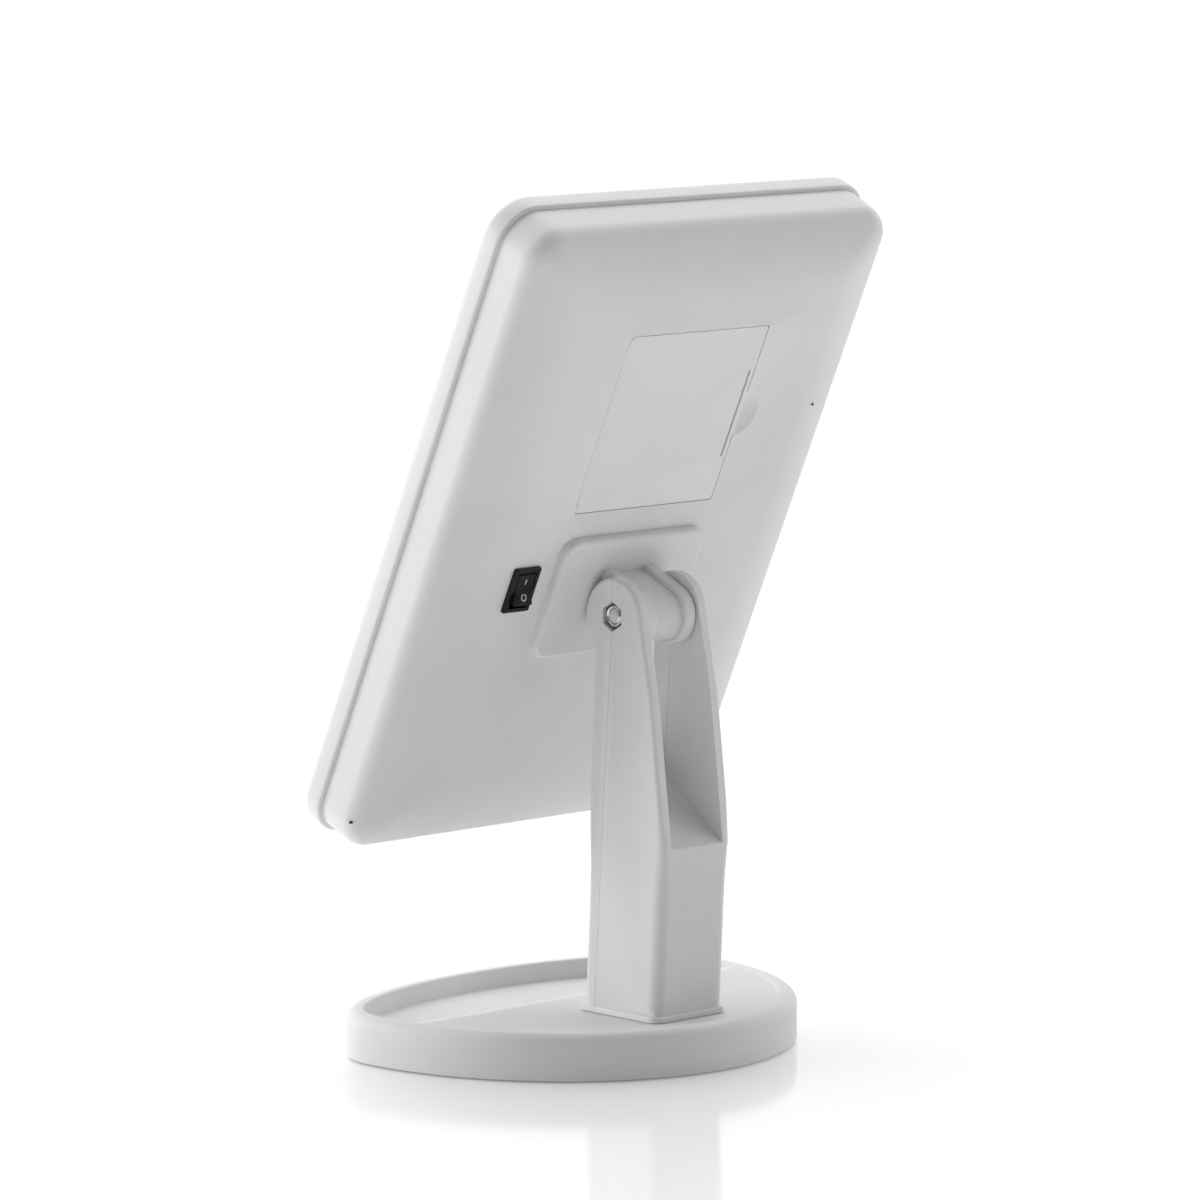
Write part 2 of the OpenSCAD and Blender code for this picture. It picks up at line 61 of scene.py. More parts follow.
def local_box(node, space=WORLD):
    """Lowest and highest corner of a CAD node in millimetres, in the head's directions or the world's."""
    back = space.inverted()
    points = [back @ (v.co / MM) for v in nodes[node].data.vertices]
    low = Vector([min(p[i] for p in points) for i in range(3)])
    high = Vector([max(p[i] for p in points) for i in range(3)])
    return low, high


# ---------------------------------------------------------------- mesh tools

def add_object(name, bm, space=WORLD, sharp_deg=38.0):
    """Makes an object from a bmesh in millimetres, smooth but for edges sharper than sharp_deg."""
    bmesh.ops.remove_doubles(bm, verts=bm.verts, dist=0.0005)
    bmesh.ops.recalc_face_normals(bm, faces=bm.faces)
    bmesh.ops.transform(bm, matrix=Matrix.Scale(MM, 4) @ space, verts=bm.verts)
    for face in bm.faces:
        face.smooth = True
    for edge in bm.edges:
        edge.smooth = edge.calc_face_angle(0.0) < math.radians(sharp_deg)
    mesh = bpy.data.meshes.new(name)
    bm.to_mesh(mesh)
    bm.free()
    piece = bpy.data.objects.new(name, mesh)
    bpy.context.scene.collection.objects.link(piece)
    return piece


def bridge(bm, loops, close=True):
    """Joins loops of vertices with quads; a closed loop also joins its last vertex to its first."""
    for low, high in zip(loops, loops[1:]):
        count = len(low)
        for i in range(count if close else count - 1):
            j = (i + 1) % count
            corners = [low[i], low[j], high[j], high[i]]
            corners = [v for k, v in enumerate(corners) if v is not corners[k - 1]]
            if len(corners) > 2:
                bm.faces.new(corners)


def loft(loops, cap_start=True, cap_end=True):
    """Closed solid through loops of points."""
    bm = bmesh.new()
    rings = [[bm.verts.new(point) for point in loop] for loop in loops]
    bridge(bm, rings)
    if cap_start:
        bm.faces.new(rings[0])
    if cap_end:
        bm.faces.new(rings[-1])
    return bm


def arc(cx, cy, radius, start, end, steps):
    """Points along an arc, angles in degrees."""
    return [(cx + radius * math.cos(math.radians(start + (end - start) * i / steps)),
             cy + radius * math.sin(math.radians(start + (end - start) * i / steps)))
            for i in range(steps + 1)]


def round_rect(half_w, half_h, radius, steps=8, centre=(0, 0)):
    """Outline of a rectangle with round corners, anticlockwise."""
    points = []
    for k, (sx, sy) in enumerate(((1, 1), (-1, 1), (-1, -1), (1, -1))):
        points += arc(centre[0] + sx * (half_w - radius), centre[1] + sy * (half_h - radius),
                      radius, 90 * k, 90 * k + 90, steps)
    return points


def quarter(steps):
    """Angles from 0 to a right angle, in radians."""
    return [math.pi / 2 * i / steps for i in range(steps + 1)]


def circle(cx, cy, radius, steps=48):
    """Points of a circle, the first not repeated."""
    return arc(cx, cy, radius, 0, 360, steps)[:-1]


def inward_normals(outline):
    """Inward mitred normal at each point of an anticlockwise outline."""
    normals = []
    count = len(outline)
    for i in range(count):
        before = Vector(outline[i]) - Vector(outline[i - 1])
        after = Vector(outline[(i + 1) % count]) - Vector(outline[i])
        one = Vector((-before.y, before.x)).normalized()
        two = Vector((-after.y, after.x)).normalized()
        normals.append((one + two) / max(0.35, 1 + one.dot(two)))
    return normals


def slab_loops(outline, low, high, round_low, round_high, steps=5, inward=None):
    """Loops of a slab with rounded end edges, as (x, y, level). A radius is a number or one per point."""
    count = len(outline)
    lows = round_low if isinstance(round_low, list) else [round_low] * count
    highs = round_high if isinstance(round_high, list) else [round_high] * count
    normals = inward or inward_normals(outline)

    def ring(level, radii, turn, toward):
        inset = 1 - math.cos(turn)
        drop = 1 - math.sin(turn)
        return [(p[0] + m[0] * r * inset, p[1] + m[1] * r * inset, level + toward * r * drop)
                for p, m, r in zip(outline, normals, radii)]

    turns = quarter(steps)
    low_turns = list(reversed(turns)) if max(lows) > 0 else [0.0]
    high_turns = turns if max(highs) > 0 else [0.0]
    loops = [ring(low, lows, turn, 1) for turn in low_turns]
    return loops + [ring(high, highs, turn, -1) for turn in high_turns]


def along(axis, loops):
    """Turns (x, y, level) loops so that the level runs along an axis, keeping the other two in order."""
    place = {"x": lambda p: (p[2], p[0], p[1]), "y": lambda p: (p[0], p[2], p[1]), "z": lambda p: p}[axis]
    return [[place(p) for p in loop] for loop in loops]


def slab(axis, outline, low, high, round_low=0.0, round_high=0.0, steps=5, inward=None):
    """Slab of an outline between two levels along an axis, with rounded end edges."""
    return loft(along(axis, slab_loops(outline, low, high, round_low, round_high, steps, inward)))


def turned(axis, centre, profile, steps=48):
    """Solid turned about an axis through centre; profile lists (level, radius) from end to end."""
    loops = [[(x, y, level) for x, y in circle(centre[0], centre[1], max(radius, 0.01), steps)]
             for level, radius in profile]
    return loft(along(axis, loops))


def merged(*parts):
    """One bmesh from several."""
    whole = bmesh.new()
    for part in parts:
        mesh = bpy.data.meshes.new("part")
        part.to_mesh(mesh)
        part.free()
        whole.from_mesh(mesh)
        bpy.data.meshes.remove(mesh)
    return whole


def block(low, high):
    """Box between two corners."""
    bm = bmesh.new()
    bmesh.ops.create_cube(bm, size=1)
    size = Vector(high) - Vector(low)
    bmesh.ops.transform(bm, matrix=Matrix.Translation((Vector(low) + Vector(high)) / 2)
                        @ Matrix.Diagonal((*size, 1)), verts=bm.verts)
    return bm


def combine(piece, tools, space=WORLD, operation="DIFFERENCE"):
    """Cuts bmesh tools from a piece, or joins them to it, and keeps the result as its mesh."""
    for tool_bm in tools:
        tool = add_object("tool", tool_bm, space)
        step = piece.modifiers.new("combine", "BOOLEAN")
        step.object = tool
        step.operation = operation
        step.solver = "EXACT"
        graph = bpy.context.evaluated_depsgraph_get()
        result = bpy.data.meshes.new_from_object(piece.evaluated_get(graph))
        piece.modifiers.clear()
        piece.data = result
        bpy.data.objects.remove(tool)
    return piece


def soften(piece, width, sharp_deg=30.0, segments=3):
    """Rounds the piece's sharp edges and keeps its flat faces flat."""
    step = piece.modifiers.new("soften", "BEVEL")
    step.width = width * MM
    step.segments = segments
    step.limit_method = "ANGLE"
    step.angle_limit = math.radians(sharp_deg)
    step.use_clamp_overlap = True
    step.miter_outer = "MITER_ARC"
    even = piece.modifiers.new("even", "WEIGHTED_NORMAL")
    even.keep_sharp = False
    for polygon in piece.data.polygons:
        polygon.use_smooth = True
    for edge in piece.data.edges:
        edge.use_edge_sharp = False
    return piece


def even_out(piece, sharp_deg=38.0):
    """Keeps large faces flat to the eye and small ones smooth."""
    for polygon in piece.data.polygons:
        polygon.use_smooth = True
    piece.data.set_sharp_from_angle(angle=math.radians(sharp_deg))
    step = piece.modifiers.new("even", "WEIGHTED_NORMAL")
    step.keep_sharp = True
    step.weight = 100
    return piece


def finish_piece(piece, body, slot, material, *replaced):
    """Gives a piece its material and body, and hides the CAD nodes that it stands for."""
    piece.data.materials.clear()
    piece.data.materials.append(material)
    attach(piece, body)
    if replaced:
        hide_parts(*replaced)
    return piece


# ---------------------------------------------------------------- materials

def shade(colour, factor=1.0, lift=0.0):
    """Colour made darker or paler, with full alpha."""
    return tuple(min(1.0, c * factor + lift) for c in colour) + (1,)


class Shader:
    """A material's node tree with short calls to add and join nodes."""

    def __init__(self, name):
        self.material = bpy.data.materials.new(name)
        self.material.use_nodes = True
        self.tree = self.material.node_tree
        self.bsdf = self.tree.nodes["Principled BSDF"]
        self.place = self.tree.nodes.new("ShaderNodeTexCoord").outputs["Object"]

    def put(self, value, socket):
        """Joins an output to a socket, or sets the socket to a plain value."""
        if isinstance(value, bpy.types.NodeSocket):
            self.tree.links.new(value, socket)
        else:
            socket.default_value = value

    def node(self, kind, inputs=None, **settings):
        made = self.tree.nodes.new(kind)
        for key, value in settings.items():
            setattr(made, key, value)
        for key, value in (inputs or {}).items():
            self.put(value, made.inputs[key])
        return made

    def noise(self, scale, detail=3.0, rough=0.5):
        made = self.node("ShaderNodeTexNoise", {"Vector": self.place, "Scale": scale, "Detail": detail,
                                                "Roughness": rough})
        return made.outputs["Fac"]

    def remap(self, value, low, high, out_low, out_high):
        made = self.node("ShaderNodeMapRange", {"Value": value, "From Min": low, "From Max": high,
                                                "To Min": out_low, "To Max": out_high})
        return made.outputs["Result"]

    def mix(self, factor, one, two):
        """Colour between two others."""
        made = self.node("ShaderNodeMix", data_type="RGBA")
        for key, value in (("Factor", factor), ("A", one), ("B", two)):
            socket = [s for s in made.inputs if s.name == key and s.enabled][0]
            self.put(value, socket)
        return [s for s in made.outputs if s.enabled][0]

    def add(self, one, two):
        return self.node("ShaderNodeMath", {0: one, 1: two}, operation="ADD").outputs[0]

    def bump(self, height, strength, distance, normal=None):
        inputs = {"Height": height, "Strength": strength, "Distance": distance}
        if normal:
            inputs["Normal"] = normal
        return self.node("ShaderNodeBump", inputs).outputs["Normal"]

    def edges(self):
        """Grows from 0.5 on convex edges and falls below it in hollows."""
        return self.node("ShaderNodeNewGeometry").outputs["Pointiness"]

    def set(self, **values):
        """Sets inputs of the surface shader, with _ for a space in their names."""
        for key, value in values.items():
            self.put(value, self.bsdf.inputs[key.replace("_", " ")])


def moulded(name, colour, roughness, grain, coat=0.0, depth=0.00002, specular=0.5):
    """Moulded plastic: faint flow marks, fine grain, and convex edges made paler as a painted highlight."""
    s = Shader(name)
    flow = s.noise(26.0, 2.0)
    fine = s.noise(grain, 4.0, 0.6)
    # Painted highlight: convex edges get a paler colour, as if light caught them.
    edge_highlight = s.remap(s.edges(), 0.5, 0.58, 0.0, 1.0)
    base = s.mix(s.remap(flow, 0.3, 0.7, 0.0, 1.0), shade(colour, 0.95), shade(colour, 1.02))
    s.set(Base_Color=s.mix(edge_highlight, base, shade(colour, 1.06, 0.01)))
    varied = s.remap(s.add(flow, fine), 0.7, 1.3, roughness * 0.85, roughness * 1.15)
    s.set(Roughness=varied, Coat_Weight=coat, Coat_Roughness=0.18, Specular_IOR_Level=specular)
    waves = s.bump(s.noise(9.0, 1.0), 0.25, 0.0002)
    s.set(Normal=s.bump(fine, 0.35, depth, waves))
    return s.material


def metal(name, colour, roughness, scratch=900.0, stretch=(1, 1, 12)):
    """Plated or brushed metal with fine scratches along one direction and dull spots."""
    s = Shader(name)
    mapped = s.node("ShaderNodeMapping", {"Vector": s.place, "Scale": stretch}).outputs["Vector"]
    lines = s.node("ShaderNodeTexNoise", {"Vector": mapped, "Scale": scratch, "Detail": 5.0}).outputs["Fac"]
    spots = s.noise(160.0, 3.0)
    tint = s.mix(s.remap(spots, 0.35, 0.65, 0.0, 1.0), shade(colour), shade(colour, 0.72))
    s.set(Base_Color=tint, Metallic=1.0)
    s.set(Roughness=s.remap(lines, 0.3, 0.7, roughness * 0.7, roughness * 1.5))
    s.set(Normal=s.bump(lines, 0.25, 0.00002))
    return s.material


def frosted(name, colour):
    """Milky acrylic that lets light through softly."""
    s = Shader(name)
    haze = s.noise(1400.0, 3.0)
    s.set(Base_Color=s.mix(haze, shade(colour), shade(colour, 0.93)))
    s.set(Subsurface_Weight=0.4, Subsurface_Scale=0.004)
    s.set(Roughness=s.remap(haze, 0.3, 0.7, 0.45, 0.6), Normal=s.bump(haze, 0.3, 0.00002))
    return s.material


def silvered(name):
    """Mirror glass: a nearly perfect reflection with faint wipe marks."""
    s = Shader(name)
    wipes = s.noise(14.0, 4.0, 0.6)
    s.set(Base_Color=s.mix(wipes, (0.9, 0.92, 0.92, 1), (0.86, 0.89, 0.89, 1)), Metallic=1.0)
    s.set(Roughness=s.remap(wipes, 0.4, 0.7, 0.012, 0.035), Coat_Weight=0.5, Coat_Roughness=0.02)
    return s.material


def circuit(name, colour):
    """Solder mask over copper: speckled green with paler traces."""
    s = Shader(name)
    traces = s.node("ShaderNodeTexBrick", {"Vector": s.place, "Scale": 90.0, "Mortar Size": 0.03,
                                           "Color1": shade(colour), "Color2": shade(colour, 0.85),
                                           "Mortar": shade(colour, 1.5)})
    s.set(Base_Color=traces.outputs["Color"], Coat_Weight=0.6, Coat_Roughness=0.2)
    s.set(Roughness=s.remap(s.noise(300.0), 0.3, 0.7, 0.35, 0.55))
    s.set(Normal=s.bump(traces.outputs["Fac"], 0.4, 0.00005))
    return s.material


def soft_rubber(name, colour):
    """Matt rubber with fine pores."""
    s = Shader(name)
    pores = s.noise(2200.0, 5.0, 0.7)
    s.set(Base_Color=s.mix(pores, shade(colour), shade(colour, 0.7)))
    s.set(Roughness=s.remap(pores, 0.3, 0.7, 0.7, 0.95), Normal=s.bump(pores, 0.6, 0.00008))
    return s.material


WHITE = moulded("white_shell_plastic", (0.80, 0.80, 0.802), 0.48, 2600.0, specular=0.35)
BEZEL = moulded("white_bezel_plastic", (0.79, 0.79, 0.792), 0.34, 2000.0, depth=0.00001, specular=0.4)
INNER = moulded("carrier_plastic", (0.66, 0.66, 0.65), 0.5, 1800.0)
BLACK = moulded("black_switch_plastic", (0.004, 0.004, 0.004), 0.28, 3000.0, specular=0.22)
MARKS = moulded("mark_ink", (0.72, 0.72, 0.72), 0.5, 4000.0)
SHINY = metal("plated_steel", (0.86, 0.86, 0.87), 0.16)
STEEL = metal("zinc_steel", (0.62, 0.62, 0.64), 0.34)
# Nut metal: its darkness is partly the steel and partly painted shade for the deep pocket the nut sits in.
DARK_STEEL_AND_SHADE = metal("dark_steel_and_painted_shade", (0.20, 0.19, 0.18), 0.42)
BRASS = metal("terminal_brass", (0.80, 0.62, 0.30), 0.28)
SPUN = metal("pad_metal", (0.78, 0.78, 0.79), 0.3)
MIRROR = silvered("mirror_silver")
MILK = frosted("diffuser_milk", (0.90, 0.90, 0.88))
LENS = frosted("led_lens", (0.92, 0.80, 0.36))
BOARD = circuit("board_mask", (0.05, 0.24, 0.10))
PAD = soft_rubber("foot_rubber", (0.24, 0.24, 0.24))
SLEEVE = soft_rubber("wire_sleeve", (0.50, 0.05, 0.04))
JACKET = moulded("cell_jacket", (0.07, 0.08, 0.10), 0.3, 1500.0, coat=0.4)
BAND = metal("cell_band", (0.83, 0.60, 0.32), 0.22)


# ---------------------------------------------------------------- base

tray_low, tray_high = local_box("base_tray")
HALF_W, HALF_D, RIM_H = tray_high.x, tray_high.y, tray_high.z
TRAY_FOOT = tray_low.z
WIDE_Y = -21.9
RIM_W = 6.0
DECK_Z = RIM_H - 1.0
FLOOR_Z = RIM_H - 6.4
DECK_FRONT = -10.0
RIM_ROUND = 3.4
RIM_INNER_ROUND = 0.7
FLOOR_FILLET = 0.25
FLOOR_SPANS = 24


def egg(inset, angle):
    """Point of the base's outline: half an ellipse in front, a longer one behind."""
    depth = HALF_D - WIDE_Y if math.sin(angle) > 0 else HALF_D + WIDE_Y
    return (HALF_W - inset) * math.cos(angle), WIDE_Y + (depth - inset) * math.sin(angle)


def base_angles():
    """Angles round the outline, closer together where the deck's front edge crosses it."""
    inner_d = HALF_D - WIDE_Y - RIM_W
    even = [-90 + 180 * i / 72 for i in range(73)]
    offsets = [0.3 * k for k in range(-3, 4)]
    step = [math.degrees(math.asin((DECK_FRONT - WIDE_Y + d) / inner_d)) for d in offsets]
    clear = [a for a in even if not step[0] - 1 < a < step[-1] + 1]
    right = sorted(clear + step)
    return right, [180 - a for a in reversed(right)][1:-1]


def step_height(y):
    """Height of the floor at a distance behind the middle: low at the front, the deck at the back."""
    t = min(1.0, max(0.0, (y - DECK_FRONT + 0.9) / 1.8))
    return FLOOR_Z + (DECK_Z - FLOOR_Z) * t * t * (3 - 2 * t)


def tray_loops(angles):
    """Loops of the tray from its foot up the wall, over the rim and down to the floor."""
    def ring(inset, height):
        return [(*egg(inset, a), height(a) if callable(height) else height) for a in angles]

    def floor_at(rise):
        return lambda a: step_height(egg(RIM_W, a)[1]) + rise

    foot = ((3.2, 0), (0.6, 0), (0.15, 0.2), (0, 0.7))
    loops = [ring(inset, TRAY_FOOT + rise) for inset, rise in foot]
    loops.append(ring(0, RIM_H - RIM_ROUND))
    for turn in quarter(8)[1:]:
        loops.append(ring(RIM_ROUND * (1 - math.cos(turn)), RIM_H - RIM_ROUND * (1 - math.sin(turn))))
    for turn in quarter(4):
        loops.append(ring(RIM_W - RIM_INNER_ROUND * (1 - math.sin(turn)),
                          RIM_H - RIM_INNER_ROUND * (1 - math.cos(turn))))
    for turn in quarter(4):
        loops.append(ring(RIM_W + FLOOR_FILLET * (1 - math.cos(turn)),
                          floor_at(FLOOR_FILLET * (1 - math.sin(turn)))))
    return loops


def fill_floor(bm, rim, right_count):
    """Closes the tray with rows of faces from its right side to its left."""
    rows = [[rim[0]]]
    for i in range(1, right_count - 1):
        start, end = rim[i], rim[len(rim) - i]
        middle = [bm.verts.new(start.co.lerp(end.co, k / FLOOR_SPANS)) for k in range(1, FLOOR_SPANS)]
        rows.append([start] + middle + [end])
    rows.append([rim[right_count - 1]])
    for k in range(FLOOR_SPANS):
        bm.faces.new([rows[0][0], rows[1][k + 1], rows[1][k]])
        bm.faces.new([rows[-1][0], rows[-2][k], rows[-2][k + 1]])
    bridge(bm, rows[1:-1], close=False)


def base_tray():
    """Tray as one skin: wall, rounded rim, inner wall and a floor of rows that follow the step."""
    right, left = base_angles()
    angles = [math.radians(a) for a in right + left]
    bm = loft(tray_loops(angles), cap_end=False)
    bm.verts.ensure_lookup_table()
    fill_floor(bm, bm.verts[-len(angles):], len(right))
    finish_piece(add_object("tray_shell", bm, sharp_deg=60), "stand", "white_shell", WHITE, "base_tray")


base_tray()

# ---------------------------------------------------------------- column

COLUMN_W = 14.9
ARM_R = 12.0
ARM_IN = 11.1
FOOT_Z = local_box("column_rear_shell")[0].z
FLANGE_H, FLANGE_OUT = 2.0, 1.0
FOOT_FRONT, FOOT_REAR = -14.2, 19.7
LIP_REAR, LIP_Z = 22.6, hinge.z - 70.8
ARM_REAR, ARM_REAR_Z = 17.0, hinge.z - 24.3
NECK_FRONT = -7.3
SEAM_FOOT = -8.0
SEAM_GAP = 0.07
RAMP_RISE = 25.0
POCKET = 2.9
POCKET_R = 5.0
NUT_POCKET_R = 4.75
BORE_R = 2.55
CORNER_R = 4.0
ARM_EDGE_R = 1.3


def on_line(start, end, steps):
    """Points along a line, its end left out."""
    return [(start[0] + (end[0] - start[0]) * i / steps, start[1] + (end[1] - start[1]) * i / steps)
            for i in range(steps)]


def edge_radius(z):
    """Radius of the column's upright outer edges: large at the foot, small on the arms."""
    t = min(1.0, max(0.0, (z - LIP_Z + 16) / 32))
    return CORNER_R + (ARM_EDGE_R - CORNER_R) * t * t * (3 - 2 * t)


def seam_y(z):
    """Where the two shells meet: on the hinge axis at the top, further forward at the foot."""
    return min(0.0, SEAM_FOOT * (hinge.z - z) / (hinge.z - FOOT_Z))


def neck_point():
    """Where the round arm end meets the column's front line, measured from the hinge."""
    slope = (NECK_FRONT - FOOT_FRONT) / (hinge.z - FOOT_Z)
    a, b, c = slope ** 2 + 1, 2 * slope * NECK_FRONT, NECK_FRONT ** 2 - ARM_R ** 2
    z = (-b - math.sqrt(b ** 2 - 4 * a * c)) / (2 * a)
    return NECK_FRONT + slope * z, z


def hexagon(radius, turn=1):
    """Hexagon round the hinge axis in Y and Z, a corner up."""
    angles = [math.radians(60 * i) for i in range(6)]
    return [(hinge.y + turn * radius * math.sin(a), hinge.z + radius * math.cos(a)) for a in angles]


def fork_tools():
    """The gap between the arms with its ramp, the bolt's bore and the pockets of its nut and head."""
    y_back, y_front, top = hinge.y + LIP_REAR + 1, hinge.y - 2 * ARM_R, hinge.z + 2 * ARM_R
    ramp_slope = RAMP_RISE / (LIP_REAR - NECK_FRONT + 3)
    gap = [(y_back, LIP_Z - ramp_slope), (y_back, top), (y_front, top),
           (y_front, LIP_Z + RAMP_RISE + 10), (hinge.y + NECK_FRONT - 3, LIP_Z + RAMP_RISE)]
    return [slab("x", gap, -ARM_IN, ARM_IN),
            slab("x", circle(hinge.y, hinge.z, BORE_R), -20, 20),
            slab("x", hexagon(NUT_POCKET_R), COLUMN_W - POCKET, 20),
            slab("x", circle(hinge.y, hinge.z, POCKET_R), -20, -COLUMN_W + POCKET)]


def column_piece(name, outline, seam_points):
    """Half of the column: an outline in Y and Z whose seam points keep sharp edges."""
    shifted = [(y + hinge.y, z) for y, z in outline]
    radii, inward = [], []
    for point, normal in zip(outline, inward_normals(shifted)):
        on_seam = point in seam_points
        top = on_seam and point[1] > hinge.z + ARM_R - 0.2
        radii.append(0.0 if on_seam and not top else edge_radius(point[1]))
        inward.append((0.0, -1.0) if top else tuple(normal))
    bm = slab("x", shifted, -COLUMN_W, COLUMN_W, radii, radii, 5, inward)
    piece = add_object(name, bm, sharp_deg=45)
    combine(piece, fork_tools())
    return even_out(piece, 35)


def column():
    """Both halves of the column, split by a hairline along the seam."""
    top = hinge.z + ARM_R
    seam_line = [(seam_y(z), z) for z in [top, hinge.z + 4, hinge.z]]
    seam_line += on_line((0.0, hinge.z), (SEAM_FOOT, FOOT_Z), 6)[1:] + [(SEAM_FOOT, FOOT_Z)]
    rear_seam = [(y + SEAM_GAP, z) for y, z in seam_line]
    front_seam = [(y - SEAM_GAP, z) for y, z in seam_line]
    rear_arc = [(y, z + hinge.z) for y, z in arc(0, 0, ARM_R, 10, 89.6, 14)]
    rear = [(FOOT_REAR, FOOT_Z)] + on_line((FOOT_REAR, FOOT_Z), (LIP_REAR, LIP_Z), 12)[1:]
    rear += on_line((LIP_REAR, LIP_Z), (ARM_REAR, ARM_REAR_Z), 10)
    rear += on_line((ARM_REAR, ARM_REAR_Z), rear_arc[0], 4)
    rear += rear_arc[:-1] + rear_seam
    neck = neck_point()
    start = math.degrees(math.atan2(neck[1], neck[0])) % 360
    front_arc = [(y, z + hinge.z) for y, z in arc(0, 0, ARM_R, 90.4, start, 24)]
    front = front_arc[1:] + on_line(front_arc[-1], (FOOT_FRONT, FOOT_Z), 10)[1:] + [(FOOT_FRONT, FOOT_Z)]
    front += list(reversed(front_seam))
    for name, outline, seam, node in (("column_back", rear, rear_seam, "column_rear_shell"),
                                      ("column_front", front, front_seam, "column_front_shell")):
        finish_piece(column_piece(name, outline, seam), "stand", "white_shell", WHITE, node)


column()

# ---------------------------------------------------------------- head shell

shell_low, shell_high = local_box("rear_shell", HEAD)
HEAD_U = (shell_low.z + shell_high.z) / 2
SHELL_W = (shell_high.x - shell_low.x) / 2
SHELL_H = (shell_high.z - shell_low.z) / 2
BACK_N = shell_high.y
bezel_low, bezel_high = local_box("front_bezel", HEAD)
BEZEL_W = (bezel_high.x - bezel_low.x) / 2
BEZEL_H = (bezel_high.z - bezel_low.z) / 2
FRONT_N = bezel_low.y
BEZEL_T = 8.0
GROOVE_N = FRONT_N + BEZEL_T
SHELL_R = 11.5
WALL_L = 9.4
EDGE_R = 6.4
EDGE_TURN = 62.0
DRAFT = 0.3
SKIN = 2.0
DOOR_CLIP = 1.6
DOOR_NICK = 0.6
DOOR_JOG = 0.5
DOOR_JOG_H = 3.2
FINGER_R, FINGER_DEPTH = 22.1, 1.5
# Axis, centre across it and level of each tiny moulding mark on the shell, shown as a flush black dot of
# painted shade.
SHADE_DOT_MARKS = [("y", (-62.4, 60.0), BACK_N - 0.55), ("x", (BACK_N - 7.0, -80.4), SHELL_W - 0.45)]

door_low, door_high = local_box("battery_door", HEAD)
DOOR_U = (door_low.z + door_high.z) / 2


def door_outline(grow):
    """Door with one clipped corner and a shallow jog near its foot, grown all round."""
    right = (door_high.x - door_low.x) / 2 + grow
    half_h = (door_high.z - door_low.z) / 2 + grow
    top, foot = DOOR_U + half_h, DOOR_U - half_h
    jog = right - DOOR_JOG
    return [(right, top - DOOR_CLIP), (right - DOOR_CLIP, top), (DOOR_NICK - right, top),
            (-right, top - DOOR_NICK), (-right, foot + DOOR_NICK), (DOOR_NICK - right, foot),
            (jog - DOOR_NICK, foot), (jog, foot + DOOR_NICK),
            (jog, foot + DOOR_JOG_H), (right, foot + DOOR_JOG_H + DOOR_NICK)]


def crown_radius():
    """Radius of the crown that joins the shell's edge to the middle of its back."""
    rise = BACK_N - GROOVE_N - WALL_L - EDGE_R * math.sin(math.radians(EDGE_TURN))
    return rise / (1 - math.sin(math.radians(EDGE_TURN)))


def shell_sections():
    """The shell's cross-section from the groove to its flat back, as (inset, n)."""
    crown = crown_radius()
    wall_top = GROOVE_N + WALL_L
    sections = [(0.0, GROOVE_N), (DRAFT * 0.5, GROOVE_N + WALL_L * 0.5)]
    for i in range(9):
        turn = math.radians(EDGE_TURN * i / 8)
        sections.append((DRAFT + EDGE_R * (1 - math.cos(turn)), wall_top + EDGE_R * math.sin(turn)))
    start_inset = sections[-1][0]
    for i in range(1, 11):
        turn = math.radians(EDGE_TURN + (90 - EDGE_TURN) * i / 10)
        sections.append((start_inset + crown * (math.cos(math.radians(EDGE_TURN)) - math.cos(turn)),
                         BACK_N - crown * (1 - math.sin(turn))))
    return sections


def head_ring(half_w, half_h, radius, n, steps=10):
    """Loop of points round the head at one level."""
    return [(x, n, u) for x, u in round_rect(half_w, half_h, radius, steps, (0, HEAD_U))]


def shell_body():
    """Hollow crowned pan, open at the groove."""
    def ring(inset, n, skin):
        corner = max(4.5, SHELL_R - 1.2 * inset) - skin
        return head_ring(SHELL_W - inset - skin, SHELL_H - inset - skin, corner, n - skin)

    outer = [ring(inset, n, 0) for inset, n in shell_sections()]
    inner = [ring(inset, n, SKIN) for inset, n in shell_sections()]
    inner[0] = head_ring(SHELL_W - SKIN, SHELL_H - SKIN, SHELL_R - SKIN, GROOVE_N)
    return loft(list(reversed(inner)) + outer)


def finger_recess():
    """Ball that hollows the shell beside the door's latch slit."""
    bm = bmesh.new()
    bmesh.ops.create_uvsphere(bm, u_segments=96, v_segments=64, radius=FINGER_R)
    bmesh.ops.translate(bm, verts=bm.verts, vec=(door_low.x, BACK_N + FINGER_R - FINGER_DEPTH, DOOR_U))
    return bm


def shell():
    """Shell with openings for the door and the switch, and a black dot of painted shade at each of its two
    moulding marks.
    """
    piece = add_object("head_shell", shell_body(), HEAD, sharp_deg=45)
    housing_low, housing_high = local_box("switch_housing", HEAD)
    switch_mid = ((housing_low.x + housing_high.x) / 2, (housing_low.z + housing_high.z) / 2)
    panel = round_rect(4.45, 6.75, 0.3, 2, switch_mid)
    combine(piece, [slab("y", door_outline(0.2), BACK_N - 5, BACK_N + 1),
                    slab("y", panel, BACK_N - 5, BACK_N + 1), finger_recess()], HEAD)
    even_out(piece)
    for k, (axis, centre, level) in enumerate(SHADE_DOT_MARKS):
        # Each mark is a black pin whose tip sits flush with the shell: a dot of painted shade.
        pin = turned(axis, centre, [(level - 1.5, 0.4), (level - 0.12, 0.4), (level, 0.28)], 16)
        finish_piece(add_object(f"ejector_mark_shade_dot_{k + 1}", pin, HEAD), "head", None, BLACK)
    finish_piece(piece, "head", "white_shell", WHITE, "rear_shell")


shell()

# ---------------------------------------------------------------- bezel

BEZEL_RIM = 7.0
BEZEL_FRONT_R, BEZEL_BACK_R, BEZEL_LIP_R = 2.8, 0.7, 1.2
BEZEL_GAP = 0.05
TONGUE_H = 2.9
LIP_DEPTH, RABBET = 1.5, 2.05


